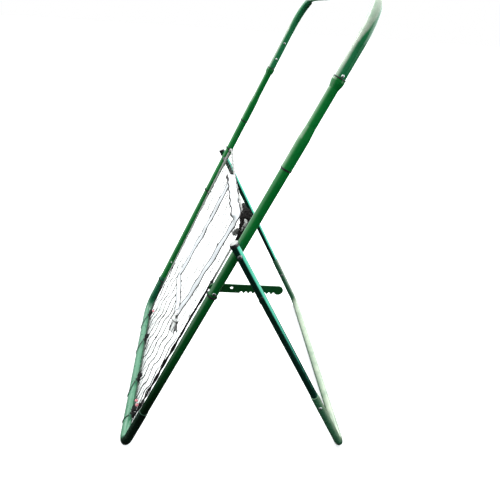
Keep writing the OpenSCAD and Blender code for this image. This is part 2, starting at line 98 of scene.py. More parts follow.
def noise(nt, vec, scale, detail=3.0, rough=0.55, lac=2.0):
    n = node(nt, "ShaderNodeTexNoise", i_Scale=scale, i_Detail=detail, i_Roughness=rough, i_Lacunarity=lac)
    link(nt, vec, n.inputs["Vector"])
    return n.outputs["Fac"]


def ramp(nt, fac, stops):
    r = node(nt, "ShaderNodeValToRGB")
    e = r.color_ramp.elements
    while len(e) < len(stops):
        e.new(0.5)
    for k, (p, c) in enumerate(stops):
        e[k].position = p
        e[k].color = (*c, 1) if len(c) == 3 else c
    link(nt, fac, r.inputs["Fac"])
    return r.outputs["Color"]


def grey(v):
    return (v, v, v)


def mix(nt, fac, a, b, blend="MIX"):
    n = node(nt, "ShaderNodeMix", data_type="RGBA", blend_type=blend)
    for sock, val in ((n.inputs["Factor"], fac), (n.inputs["A"], a), (n.inputs["B"], b)):
        pass
    fsock = n.inputs[0]
    asock, bsock = [s for s in n.inputs if s.name == "A" and s.type == "RGBA"][0], [s for s in n.inputs if s.name == "B" and s.type == "RGBA"][0]
    for sock, val in ((fsock, fac), (asock, a), (bsock, b)):
        if isinstance(val, (int, float)):
            sock.default_value = val
        elif isinstance(val, tuple):
            sock.default_value = (*val, 1) if len(val) == 3 else val
        else:
            link(nt, val, sock)
    return [s for s in n.outputs if s.type == "RGBA"][0]


def math_(nt, op, a, b=None, clamp=False):
    n = node(nt, "ShaderNodeMath", operation=op, use_clamp=clamp)
    for k, val in enumerate((a, b)):
        if val is None:
            continue
        if isinstance(val, (int, float)):
            n.inputs[k].default_value = val
        else:
            link(nt, val, n.inputs[k])
    return n.outputs[0]


def maprange(nt, v, a, b, c, d, smooth=False):
    n = node(nt, "ShaderNodeMapRange", interpolation_type="SMOOTHSTEP" if smooth else "LINEAR")
    n.inputs["From Min"].default_value, n.inputs["From Max"].default_value = a, b
    n.inputs["To Min"].default_value, n.inputs["To Max"].default_value = c, d
    link(nt, v, n.inputs["Value"])
    return n.outputs["Result"]


def bump(nt, height, strength, distance, prev=None):
    n = node(nt, "ShaderNodeBump")
    n.inputs["Strength"].default_value = strength
    n.inputs["Distance"].default_value = distance
    link(nt, height, n.inputs["Height"])
    if prev is not None:
        link(nt, prev, n.inputs["Normal"])
    return n.outputs["Normal"]


# ---------------------------------------------------------------- materials
def enamel(name, base, deep, pale, chip=0.5, dust_and_highlight=0.5, rough=(0.16, 0.34), coat=0.6, up_from=(0.15, 1.0), painted_shade_by_height=None, flake=0.0):
    """Glossy sprayed enamel on steel tube: orange peel, faint colour drift, rubbed and chipped spots, dust with a
    painted highlight on what faces up, and an optional painted shade towards the ground.
    """
    mat, nt, b = new_mat(name)
    v = obj_coords(nt)
    drift = noise(nt, v, 9.0, 4.0, 0.6)
    col = ramp(nt, drift, [(0.30, deep), (0.52, base), (0.74, tuple(x * 1.18 for x in base))])
    fine = noise(nt, v, 160.0, 5.0, 0.65)
    col = mix(nt, maprange(nt, fine, 0.35, 0.7, 0.0, 0.35), col, tuple(x * 0.62 for x in base))
    if painted_shade_by_height:  # painted shade: the right rail, and the right end of the bottom tube, darken towards the ground
        at = node(nt, "ShaderNodeSeparateXYZ")
        link(nt, v, at.inputs[0])
        low = ramp(nt, maprange(nt, at.outputs["Z"], 0.0, 1.0, 0.0, 1.0), [(z, (g, g, g)) for z, g in painted_shade_by_height])
        near = maprange(nt, at.outputs["X"], 0.345, 0.376, 0.0, 1.0, True)
        col = mix(nt, near, col, mix(nt, 1.0, col, low, "MULTIPLY"))
    # dust, and a painted highlight standing in for the sky's reflection, paling what faces up
    geo = node(nt, "ShaderNodeNewGeometry")
    sep = node(nt, "ShaderNodeSeparateXYZ")
    link(nt, geo.outputs["Normal"], sep.inputs[0])
    up = maprange(nt, sep.outputs["Z"], up_from[0], up_from[1], 0.0, 1.0, True)
    patch = maprange(nt, noise(nt, v, 26.0, 6.0, 0.65), 0.3, 0.72, 0.35, 1.0)
    dust_and_highlight_amt = math_(nt, "MULTIPLY", math_(nt, "MULTIPLY", up, patch), dust_and_highlight)
    col = mix(nt, dust_and_highlight_amt, col, pale)
    # chips and scratches down to grey steel
    vor = node(nt, "ShaderNodeTexVoronoi", feature="DISTANCE_TO_EDGE", i_Scale=75.0)
    link(nt, v, vor.inputs["Vector"])
    spots = maprange(nt, noise(nt, v, 210.0, 3.0, 0.5), 0.70, 0.735, 0.0, 1.0)
    region = maprange(nt, noise(nt, v, 13.0, 2.0, 0.5), 0.52, 0.66, 0.0, 1.0)
    chips = math_(nt, "MULTIPLY", math_(nt, "MULTIPLY", spots, region), chip)
    col = mix(nt, chips, col, (0.21, 0.19, 0.16))
    link(nt, col, b.inputs["Base Color"])
    r = maprange(nt, noise(nt, v, 44.0, 5.0, 0.6), 0.3, 0.7, rough[0], rough[1])
    r = math_(nt, "ADD", r, math_(nt, "MULTIPLY", dust_and_highlight_amt, 0.22))
    link(nt, r, b.inputs["Roughness"])
    link(nt, math_(nt, "MAXIMUM", flake, math_(nt, "MULTIPLY", chips, 0.8)), b.inputs["Metallic"])
    peel = noise(nt, v, 620.0, 2.0, 0.5)
    nrm = bump(nt, peel, 0.10, 0.0003)
    wave = noise(nt, v, 55.0, 2.0, 0.5)
    nrm = bump(nt, wave, 0.06, 0.0010, nrm)
    nrm = bump(nt, math_(nt, "SUBTRACT", 1.0, chips), 0.3, 0.0003, nrm)
    link(nt, nrm, b.inputs["Normal"])
    b.inputs["Coat Weight"].default_value = coat
    b.inputs["Coat Roughness"].default_value = 0.08
    b.inputs["Specular IOR Level"].default_value = 0.5
    return mat


def metal(name, base, rough=(0.22, 0.42), stain=(0.20, 0.12, 0.07), stain_amt=0.35):
    mat, nt, b = new_mat(name)
    v = obj_coords(nt)
    n1 = noise(nt, v, 90.0, 5.0, 0.65)
    col = ramp(nt, n1, [(0.3, tuple(x * 0.72 for x in base)), (0.6, base), (0.8, tuple(min(1, x * 1.12) for x in base))])
    st = maprange(nt, noise(nt, v, 320.0, 4.0, 0.6), 0.56, 0.72, 0.0, stain_amt)
    col = mix(nt, st, col, stain)
    link(nt, col, b.inputs["Base Color"])
    b.inputs["Metallic"].default_value = 1.0
    link(nt, maprange(nt, noise(nt, v, 240.0, 3.0, 0.5), 0.3, 0.7, rough[0], rough[1]), b.inputs["Roughness"])
    link(nt, bump(nt, noise(nt, v, 900.0, 3.0, 0.6), 0.15, 0.0002), b.inputs["Normal"])
    return mat


def plastic(name, base, rough=(0.32, 0.5), spec=0.5, painted_sky_reflection=None):
    mat, nt, b = new_mat(name)
    v = obj_coords(nt)
    col = ramp(nt, noise(nt, v, 60.0, 4.0, 0.6), [(0.3, tuple(x * 0.7 for x in base)), (0.7, tuple(x * 1.3 for x in base))])
    scuff = maprange(nt, noise(nt, v, 260.0, 6.0, 0.7), 0.58, 0.7, 0.0, 0.3)
    col = mix(nt, scuff, col, tuple(min(1, x * 1.5 + 0.05) for x in base))
    if painted_sky_reflection:  # painted reflection: paled to grey where it faces the sky
        sep = node(nt, "ShaderNodeSeparateXYZ")
        link(nt, node(nt, "ShaderNodeNewGeometry").outputs["Normal"], sep.inputs[0])
        up = maprange(nt, sep.outputs["Z"], 0.45, 0.9, 0.0, 1.0, True)
        col = mix(nt, math_(nt, "MULTIPLY", up, maprange(nt, noise(nt, v, 120.0, 4.0, 0.6), 0.3, 0.7, 0.6, 1.0)), col, painted_sky_reflection)
    link(nt, col, b.inputs["Base Color"])
    link(nt, maprange(nt, noise(nt, v, 190.0, 3.0, 0.5), 0.3, 0.7, rough[0], rough[1]), b.inputs["Roughness"])
    link(nt, bump(nt, noise(nt, v, 1400.0, 2.0, 0.5), 0.2, 0.00015), b.inputs["Normal"])
    b.inputs["Specular IOR Level"].default_value = spec
    return mat


def fibre(name, base, light, plies, pitch, sheen=0.35, rough=0.78, fuzz=0.25, painted_light_fade=None, spec=0.06):
    """Twisted yarn: the ply lines run round the cord by its own UVs (metres along, turns round)."""
    mat, nt, b = new_mat(name)
    uv = node(nt, "ShaderNodeUVMap", uv_map="along").outputs["UV"]
    sep = node(nt, "ShaderNodeSeparateXYZ")
    link(nt, uv, sep.inputs[0])
    phase = math_(nt, "ADD", math_(nt, "MULTIPLY", sep.outputs["X"], plies / pitch), math_(nt, "MULTIPLY", sep.outputs["Y"], plies))
    ply = math_(nt, "ABSOLUTE", math_(nt, "SINE", math_(nt, "MULTIPLY", phase, math.pi)))
    v = obj_coords(nt)
    fine = noise(nt, v, 1500.0, 3.0, 0.6)
    # painted shade in the grooves between the plies and a painted highlight on their crests
    col = ramp(nt, ply, [(0.05, tuple(x * 0.35 for x in base)), (0.5, base), (1.0, light)])
    col = mix(nt, maprange(nt, fine, 0.4, 0.75, 0.0, fuzz), col, light)
    drift = maprange(nt, noise(nt, v, 18.0, 4.0, 0.6), 0.35, 0.7, 0.0, 0.4)
    col = mix(nt, drift, col, tuple(x * 1.6 + 0.004 for x in base))
    if painted_light_fade:  # painted light: paled to grey between one height and the next, standing in for strong light washing it out
        at = node(nt, "ShaderNodeSeparateXYZ")
        link(nt, v, at.inputs[0])
        painted_light_amt = maprange(nt, at.outputs["Z"], painted_light_fade[0], painted_light_fade[1], 0.0, 1.0, True)
        if len(painted_light_fade) > 3:  # and lower down on the lit left side
            x0, x1, z0, z1 = painted_light_fade[3]
            left = math_(nt, "MULTIPLY", maprange(nt, at.outputs["X"], x0, x1, 0.0, 1.0, True), maprange(nt, at.outputs["Z"], z0, z1, 0.0, 1.0, True))
            painted_light_amt = math_(nt, "MAXIMUM", painted_light_amt, left)
            # the foot run is dusted by the turf
            foot = math_(nt, "MULTIPLY", maprange(nt, at.outputs["X"], 0.24, 0.20, 0.0, 1.0), maprange(nt, at.outputs["Z"], 0.075, 0.05, 0.0, 0.8))
            col = mix(nt, foot, col, (0.085, 0.12, 0.095))
        col = mix(nt, painted_light_amt, col, painted_light_fade[2])
    link(nt, col, b.inputs["Base Color"])
    b.inputs["Roughness"].default_value = rough
    b.inputs["Specular IOR Level"].default_value = spec
    b.inputs["Sheen Weight"].default_value = sheen
    b.inputs["Sheen Roughness"].default_value = 0.5
    nrm = bump(nt, ply, 0.7, 0.0003)
    nrm = bump(nt, fine, 0.35, 0.0002, nrm)
    link(nt, nrm, b.inputs["Normal"])
    return mat


def ribbon_mat(name, stops=((0.55, 0.58, 0.61), (0.76, 0.79, 0.83), (0.86, 0.89, 0.92)), soiled=0.35):
    """Flat woven ribbon: weft ribs across it, warp threads along it, a stitched selvedge on both edges."""
    mat, nt, b = new_mat(name)
    uv = node(nt, "ShaderNodeUVMap", uv_map="along").outputs["UV"]
    sep = node(nt, "ShaderNodeSeparateXYZ")
    link(nt, uv, sep.inputs[0])
    U, V = sep.outputs["X"], sep.outputs["Y"]  # metres along, metres across from the middle
    rib = math_(nt, "ABSOLUTE", math_(nt, "SINE", math_(nt, "MULTIPLY", U, math.pi / 0.0011)))
    warp = math_(nt, "ABSOLUTE", math_(nt, "SINE", math_(nt, "MULTIPLY", V, math.pi / 0.0009)))
    weave = math_(nt, "MULTIPLY", rib, warp)
    edge = maprange(nt, math_(nt, "ABSOLUTE", V), 0.0078, 0.0090, 0.0, 1.0, True)
    v = obj_coords(nt)
    # painted shade between the threads and a painted highlight on their crests
    col = ramp(nt, weave, [(0.0, stops[0]), (0.45, stops[1]), (1.0, stops[2])])
    soil = maprange(nt, noise(nt, v, 30.0, 5.0, 0.6), 0.45, 0.75, 0.0, soiled)
    col = mix(nt, soil, col, (0.62, 0.60, 0.57))
    stitch = math_(nt, "MULTIPLY", edge, maprange(nt, math_(nt, "SINE", math_(nt, "MULTIPLY", U, 2 * math.pi / 0.0026)), -0.4, 0.4, 0.55, 1.0))
    col = mix(nt, stitch, col, (0.12, 0.105, 0.105))
    link(nt, col, b.inputs["Base Color"])
    b.inputs["Roughness"].default_value = 0.7
    b.inputs["Sheen Weight"].default_value = 0.3
    b.inputs["Sheen Roughness"].default_value = 0.4
    nrm = bump(nt, weave, 0.6, 0.0002)
    nrm = bump(nt, stitch, 0.5, 0.0003, nrm)
    nrm = bump(nt, noise(nt, v, 90.0, 3.0, 0.5), 0.3, 0.001, nrm)
    link(nt, nrm, b.inputs["Normal"])
    return mat


M = {
    # rails: painted shade darkening the right rail towards the ground, dust with a painted highlight on their upward
    # side
    "rail": enamel("green_enamel", (0.002, 0.175, 0.028), (0.001, 0.135, 0.020), (0.06, 0.26, 0.13), dust_and_highlight=0.22, rough=(0.12, 0.24), coat=0.25,
                   painted_shade_by_height=[(0.20, 0.05), (0.27, 0.11), (0.34, 0.20), (0.50, 0.42), (0.66, 0.56), (0.85, 1.0)]),
    # bottom tube: chips, dust with a painted highlight on top, painted shade at its right end near the ground
    "bottom": enamel("green_enamel_weathered_painted_light", (0.008, 0.132, 0.055), (0.005, 0.092, 0.037), (0.10, 0.25, 0.16), chip=0.7, dust_and_highlight=0.5, coat=0.25,
                     painted_shade_by_height=[(0.0, 0.08), (0.10, 0.06), (0.20, 0.05), (0.27, 0.10)]),
    # middle tubes: a painted highlight, a pale strip along their upward-facing side standing in for the sky's
    # reflection
    "mid": enamel("green_enamel_painted_highlight", (0.002, 0.185, 0.030), (0.001, 0.145, 0.022), (0.27, 0.37, 0.25), dust_and_highlight=0.75, rough=(0.12, 0.24), coat=0.25, up_from=(0.27, 0.41)),
    # top tube: chipped wear, and a strong painted highlight paling what faces up
    "top": enamel("green_enamel_worn_painted_highlight", (0.012, 0.215, 0.075), (0.007, 0.165, 0.052), (0.44, 0.48, 0.39), chip=0.8, dust_and_highlight=1.05, up_from=(0.20, 0.37)),
    "leg": enamel("teal_candy_enamel", (0.06, 0.36, 0.25), (0.04, 0.29, 0.19), (0.10, 0.34, 0.24), chip=0.6, dust_and_highlight=0.15, rough=(0.13, 0.22), coat=0.3, flake=0.98),
    "bar": enamel("dark_green_enamel", (0.002, 0.068, 0.012), (0.001, 0.050, 0.009), (0.03, 0.16, 0.06), chip=0.4, dust_and_highlight=0.2, rough=(0.3, 0.42), coat=0.05),
    # stand: green enamel, chips, and dust with a painted highlight paling what faces up
    "stand": enamel("green_enamel_dust_painted_highlight", (0.030, 0.120, 0.060), (0.018, 0.085, 0.042), (0.40, 0.45, 0.33), chip=0.9, dust_and_highlight=0.85, up_from=(0.02, 0.75)),
    "zinc": metal("zinc_plate", (0.50, 0.52, 0.53)),
    "rivet": metal("bright_rivet_zinc", (0.90, 0.92, 0.92), (0.3, 0.45), stain_amt=0.1),
    "spring": metal("spring_steel", (0.34, 0.35, 0.38), (0.25, 0.4), stain_amt=0.2),
    "black": plastic("black_plastic", (0.012, 0.012, 0.013)),
    # leg caps: black plastic with a painted sky reflection on their tops
    "cap": plastic("black_plastic_painted_sky_reflection", (0.012, 0.012, 0.013), painted_sky_reflection=(0.40, 0.40, 0.39)),
    "bead": plastic("pink_bead_plastic", (0.78, 0.25, 0.29), (0.2, 0.34)),
    "cord": fibre("black_twisted_cord", (0.003, 0.003, 0.003), (0.012, 0.012, 0.013), 3, 0.008, sheen=0.02, rough=0.35, spec=0.25),
    # border rope: painted light greys it towards the top and on its lit left side
    "strand": fibre("black_rope_strand", (0.004, 0.004, 0.004), (0.014, 0.014, 0.015), 5, 0.006, sheen=0.05, rough=0.7,
                    painted_light_fade=(0.59, 0.66, (0.40, 0.40, 0.39), (-0.22, -0.33, 0.12, 0.24))),
    # net twine: painted light greys it towards the top
    "twine": fibre("dark_net_twine", (0.004, 0.0035, 0.0035), (0.016, 0.014, 0.014), 2, 0.004, sheen=0.05, painted_light_fade=(0.27, 0.44, (0.17, 0.167, 0.162))),
    "tangle": fibre("black_gathered_twine", (0.004, 0.0035, 0.0035), (0.018, 0.015, 0.014), 2, 0.004, sheen=0.05),
    "hem": fibre("grey_ribbon_hem", (0.022, 0.018, 0.018), (0.05, 0.042, 0.042), 2, 0.002, sheen=0.02),
    "fray": fibre("grey_frayed_fibre", (0.10, 0.098, 0.094), (0.26, 0.25, 0.245), 2, 0.003, sheen=0.3),
    "ribbon": ribbon_mat("white_woven_ribbon"),
    "tied": ribbon_mat("white_woven_ribbon_knot", ((0.86, 0.87, 0.86), (0.93, 0.94, 0.93), (0.96, 0.97, 0.96)), 0.12),
}

LOOK = {
    "rail": ["lower_tube_right", "lower_tube_left"],
    "mid": ["middle_tube_right", "middle_tube_left"],
    "bottom": ["bottom_u_tube"],
    "top": ["top_u_tube"],
    "stand": ["stand_u_tube"],
    "leg": ["stand_leg_right", "stand_leg_left"],
    "bar": ["notched_bar"],
    "rivet": ["top_rivets", "bottom_button_right", "bottom_button_left", "top_button_right", "top_button_left", "stand_joint_bolts"],
    "zinc": ["stand_joint_nuts", "pivot_bolts", "pivot_nuts", "pivot_washers", "bar_bolt", "bar_nut"],
    "spring": ["bottom_spring_right", "bottom_spring_left", "top_spring_right", "top_spring_left"],
    "cap": ["leg_caps"],
    "black": ["catch_pin", "catch_bolt", "pivot_spacers", "bar_washer", "seam_rings"],
}
for look, names in LOOK.items():
    for n in names:
        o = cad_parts[n]
        if not o.material_slots:
            o.data.materials.append(M[look])
        for s in o.material_slots:
            s.material = M[look]


# ---------------------------------------------------------------- mesh helpers (frame-local millimetres in, metres out)
class Build:
    def __init__(self, place=None):
        self.v, self.f, self.uv, self.n, self.place = [], [], [], 0, place

    def add(self, verts, faces, uvs):
        """verts (n, 3) local mm; faces: lists of indices; uvs: one list of (u, v) for each face."""
        self.v.append(W(self.place(verts) if self.place else verts))
        self.f += [[self.n + i for i in f] for f in faces]
        self.uv += uvs
        self.n += len(verts)

    def piece(self, name, mat, nodes=(), body="main_frame"):
        me = bpy.data.meshes.new(name)
        me.from_pydata(np.concatenate(self.v).tolist(), [], self.f)
        layer = me.uv_layers.new(name="along")
        layer.uv.foreach_set("vector", np.array([c for f in self.uv for c in f], np.float32).ravel())
        me.polygons.foreach_set("use_smooth", np.ones(len(me.polygons), bool))
        me.update()
        o = bpy.data.objects.new(name, me)
        bpy.context.scene.collection.objects.link(o)
        me.materials.append(mat)
        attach(o, body)
        if nodes:
            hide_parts(*nodes)
        return o


def unit(a):
    return a / np.maximum(np.linalg.norm(a, axis=-1, keepdims=True), 1e-12)


def resample(p, step=None, count=None):
    p = np.asarray(p, float)
    d = np.r_[0, np.cumsum(np.linalg.norm(np.diff(p, axis=0), axis=1))]
    n = count or max(3, int(round(d[-1] / step)) + 1)
    s = np.linspace(0, d[-1], n)
    return np.stack([np.interp(s, d, p[:, k]) for k in range(3)], 1)


def smooth_path(p, step, rounds=3):
    """Chaikin rounding of the corners, then even steps."""
    p = np.asarray(p, float)
    for _ in range(rounds):
        q = np.empty((2 * len(p), 3))
        q[0], q[-1] = p[0], p[-1]
        q[1:-1:2] = 0.75 * p[:-1] + 0.25 * p[1:]
        q[2:-1:2] = 0.25 * p[:-1] + 0.75 * p[1:]
        p = q
    return resample(p, step)


def frames(p, up=None):
    """Tangents and a pair of normals carried along the path without twist."""
    p = np.asarray(p, float)
    t = unit(np.gradient(p, axis=0))
    u = np.zeros_like(p)
    ref = np.array([0, 1.0, 0]) if abs(t[0][1]) < 0.9 else np.array([1.0, 0, 0])
    u[0] = unit(ref - t[0] * np.dot(ref, t[0]))
    for i in range(1, len(p)):
        a = u[i - 1] - t[i] * np.dot(u[i - 1], t[i])
        n = np.linalg.norm(a)
        u[i] = a / n if n > 1e-6 else u[i - 1]
    return t, u, np.cross(t, u)


def tube(b, p, r, sides=6, cap=True):
    """A round cord along p; r is a number or one for each point."""
    p = np.asarray(p, float)
    n = len(p)
    r = np.broadcast_to(np.asarray(r, float), (n,))
    t, u, w = frames(p)
    a = 2 * np.pi * np.arange(sides) / sides
    ring = (np.cos(a)[None, :, None] * u[:, None] + np.sin(a)[None, :, None] * w[:, None]) * r[:, None, None] + p[:, None]
    v = ring.reshape(-1, 3)
    s = np.r_[0, np.cumsum(np.linalg.norm(np.diff(p, axis=0), axis=1))] / 1000
    f, uv = [], []
    for i in range(n - 1):
        for k in range(sides):
            k2 = (k + 1) % sides
            f.append([i * sides + k, i * sides + k2, (i + 1) * sides + k2, (i + 1) * sides + k])
            uv.append([(s[i], k / sides), (s[i], (k + 1) / sides), (s[i + 1], (k + 1) / sides), (s[i + 1], k / sides)])
    if cap:
        f.append(list(range(sides))[::-1])
        uv.append([(s[0], 0)] * sides)
        f.append([(n - 1) * sides + k for k in range(sides)])
        uv.append([(s[-1], 0)] * sides)
    b.add(v, f, uv)


def laid(b, p, r, lay, plies=3, sides=6, per_turn=10, phase=0.0, jitter=0.0):
    """A rope of twisted strands: outer radius r, one turn every lay mm."""
    p = resample(p, lay / per_turn)
    t, u, w = frames(p)
    s = np.r_[0, np.cumsum(np.linalg.norm(np.diff(p, axis=0), axis=1))]
    sr = r * (0.5 if plies == 3 else 0.52)
    off = r - sr
    for k in range(plies):
        a = 2 * np.pi * (s / lay + k / plies + phase)
        o = off * (1 + jitter * np.sin(s / 31.0 + 2 * k))
        c = p + (np.cos(a)[:, None] * u + np.sin(a)[:, None] * w) * np.broadcast_to(o, s.shape)[:, None]
        tube(b, c, sr * 1.04, sides)


def strip(b, p, nrm, width, thick=0.6, across=6, crown=0.0, cut=None):
    """A flat ribbon along p whose face points along nrm (one vector for each point). width may vary along it."""
    p = np.asarray(p, float)
    n = len(p)
    width = np.broadcast_to(np.asarray(width, float), (n,))
    t = unit(np.gradient(p, axis=0))
    nn = unit(nrm - t * (nrm * t).sum(1, keepdims=True))
    side = np.cross(t, nn)
    e = np.linspace(-1, 1, across + 1)
    s = np.r_[0, np.cumsum(np.linalg.norm(np.diff(p, axis=0), axis=1))] / 1000
    rows = []
    for sign in (1, -1):
        v = p[:, None] + side[:, None] * (e[None, :, None] * width[:, None, None] / 2)
        v = v + nn[:, None] * ((crown * (1 - e ** 2))[None, :, None] + sign * thick / 2 * (1 - 0.35 * np.abs(e) ** 6)[None, :, None])
        rows.append(v.reshape(-1, 3))
    m_ = across + 1
    v = np.concatenate(rows)
    N = n * m_
    f, uv = [], []
    ve = e * 0.0110
    for i in range(n - 1):
        for k in range(across):
            a, c = i * m_ + k, (i + 1) * m_ + k
            q = [(s[i], ve[k]), (s[i], ve[k + 1]), (s[i + 1], ve[k + 1]), (s[i + 1], ve[k])]
            f.append([a, a + 1, c + 1, c]); uv.append(q)
            f.append([N + a, N + c, N + c + 1, N + a + 1]); uv.append([q[0], q[3], q[2], q[1]])
        for k, flip in ((0, False), (across, True)):
            a, c = i * m_ + k, (i + 1) * m_ + k
            quad = [a, c, N + c, N + a] if not flip else [a, N + a, N + c, c]
            uu = [(s[i], ve[k]), (s[i + 1], ve[k]), (s[i + 1], ve[k]), (s[i], ve[k])] if not flip else [(s[i], ve[k]), (s[i], ve[k]), (s[i + 1], ve[k]), (s[i + 1], ve[k])]
            f.append(quad); uv.append(uu)
    for i, flip in ((0, False), (n - 1, True)):
        for k in range(across):
            a = i * m_ + k
            quad = [a, N + a, N + a + 1, a + 1] if not flip else [a, a + 1, N + a + 1, N + a]
            f.append(quad); uv.append([(s[i], ve[k])] * 4)
    b.add(v, f, uv)


# ---------------------------------------------------------------- the net's shape
# the two sides of the net, 1 right and -1 left: x at the foot, x at the top, the lower corner's radius
SIDE = {1: (282.0, 319.0, 20.0), -1: (346.0, 353.0, 50.0)}
TOP, TCORNER = 850.0, 14.0
TR, BR, LR, RR = 12.7, 14.3, 1.5, 3.0
ROPE_Z, DIR = BR + RR + 0.3, math.radians(37)
LOW = ROPE_Z * math.cos(DIR)
TILT = math.asin(ROPE_Z * math.sin(DIR) / (TOP - LOW))
NI, NJ = 30, 16
LASH = [(-270, 56), (-107, 52), (113, 56), (266, 14)]
TIES = ((158.0, 120.0), (642.0, 642.0), (838.0, 834.0))


def tilt(p):
    """From the net's own plane to the frame's: the net hangs from its top edge, its foot behind the bottom bar."""
    p = np.asarray(p, float)
    d = TOP - p[..., 2]
    return np.stack([p[..., 0], p[..., 1] * math.cos(TILT) + d * math.sin(TILT), TOP - d * math.cos(TILT) + p[..., 1] * math.sin(TILT)], -1)


def side_lean(s):
    return math.atan((SIDE[s][1] - SIDE[s][0]) / (TOP - LOW))


def side_x(s, z):
    return SIDE[s][0] + (z - LOW) * math.tan(side_lean(s))


def low_corner(s):
    r = SIDE[s][2]
    return side_x(s, LOW + r) - r / math.cos(side_lean(s)), LOW + r


def rope_side(s):
    r, lean = SIDE[s][2], side_lean(s)
    lc = low_corner(s)
    hc = (side_x(s, TOP - TCORNER) - TCORNER / math.cos(lean), TOP - TCORNER)
    pts = [(lc[0] + r * math.cos(a), lc[1] - r * math.sin(a)) for a in np.linspace(math.pi / 2 - 0.15, lean, 12)]
    pts += [(side_x(s, z), z) for z in np.linspace(LOW + r + 10, TOP - TCORNER - 4, 80)]
    pts += [(hc[0] + TCORNER * math.cos(a), hc[1] - TCORNER * math.sin(a)) for a in np.linspace(lean, -math.pi / 2, 7)]
    return lc[0], hc[0], pts


def rope_loop():
    """The border rope's own line: bottom, right side, top, left side, with rounded corners."""
    (lr, hr, right), (ll, hl, left) = rope_side(1), rope_side(-1)
    pts = [(x, LOW) for x in np.linspace(-ll, lr, 60)] + right
    pts += [(x, TOP) for x in np.linspace(hr - 5, 5 - hl, 70)]
    return np.array(pts + [(-x, z) for x, z in left[::-1]])


LOOP = rope_loop()


def net_solution():
    """Knots of a diamond mesh in tension between a border rope that is held at its ties: every free knot rests where its strands' pulls balance."""
    idx, P, pin = {}, [], []
    for j in range(NJ + 1):
        for i in range(NI + 1):
            if (i + j) % 2 == 0:
                z = LOW + j * (TOP - LOW) / NJ
                x = (side_x(1, z) + side_x(-1, z)) * i / NI - side_x(-1, z)
                edge = i in (0, NI) or j in (0, NJ)
                held = False
                if edge:
                    k = np.argmin((LOOP[:, 0] - x) ** 2 + (LOOP[:, 1] - z) ** 2)
                    x, z = LOOP[k]
                    held = (z < 60 and x > 250) or (z < 72 and x < -285) or (z > 805 and abs(x) > 300)
                idx[i, j] = len(P)
                P.append((x, 0.0, z))
                pin.append(held)
    P = np.array(P)
    pin = np.array(pin)
    E, Q = [], []
    for j in range(NJ):
        for i in range(NI):
            a, b_ = ((i, j), (i + 1, j + 1)) if (i + j) % 2 == 0 else ((i + 1, j), (i, j + 1))
            E.append((idx[a], idx[b_]))
            Q.append(1.0)
    ring = [idx[i, 0] for i in range(0, NI + 1, 2)] + [idx[NI, j] for j in range(2, NJ + 1, 2)] + [idx[i, NJ] for i in range(NI - 2, -1, -2)] + [idx[0, j] for j in range(NJ - 2, 0, -2)]
    # the rope's held points between the knots
    extra = [(x, 0.0, LOW) for x, _ in LASH] + [(s * side_x(s, z), 0.0, z) for s in (1, -1) for _, z in TIES]
    lc = low_corner(-1)
    extra += [(-lc[0] - SIDE[-1][2] * math.cos(a), 0.0, lc[1] - SIDE[-1][2] * math.sin(a)) for a in (0.25, 1.3)]
    n0 = len(P)
    P = np.vstack([P, extra])
    pin = np.r_[pin, np.ones(len(extra), bool)]

    def along(p):
        k = np.argmin((LOOP[:, 0] - p[0]) ** 2 + (LOOP[:, 1] - p[2]) ** 2)
        return k + 0.001 * ((p[0] - LOOP[k, 0]) + (p[2] - LOOP[k, 1]))
    order = sorted(ring + list(range(n0, len(P))), key=lambda k: along(P[k]))
    rope = []
    for a, b_ in zip(order, order[1:] + order[:1]):
        E.append((a, b_))
        L = max(4.0, np.linalg.norm(P[a] - P[b_]))
        top = P[a][2] > TOP - 1 and P[b_][2] > TOP - 1
        low = P[a][2] < LOW + 1 and P[b_][2] < LOW + 1
        Q.append((300.0 if top else 190.0 if low else 62.0) * 41.7 / L)
    n = len(P)
    A = np.zeros((n, n))
    for (a, b_), q in zip(E, Q):
        A[a, a] += q
        A[b_, b_] += q
        A[a, b_] -= q
        A[b_, a] -= q
    f = np.zeros((n, 3))
    f[:, 1] = 0.8
    free = ~pin
    X = P.copy()
    X[free] = np.linalg.solve(A[np.ix_(free, free)], f[free] - A[np.ix_(free, pin)] @ P[pin])
    inner = np.array([0 < i < NI and 0 < j < NJ for (i, j) in idx] + [False] * (n - n0))
    X[inner] += RNG.normal(0, 1.0, (inner.sum(), 3)) * (1.7, 1.2, 2.6)
    strands = [e for e in E[: NI * NJ]]
    return idx, X, strands, order


IDX, KNOT, STRANDS, RING = net_solution()
NET_GRID = {k: KNOT[v] for k, v in IDX.items()}


def net_y(x, z):
    """The net's own depth behind the plane near (x, z)."""
    d = (KNOT[:, 0] - x) ** 2 + (KNOT[:, 2] - z) ** 2
    k = np.argsort(d)[:4]
    w_ = 1 / (d[k] + 30)
    return float((KNOT[k, 1] * w_).sum() / w_.sum())


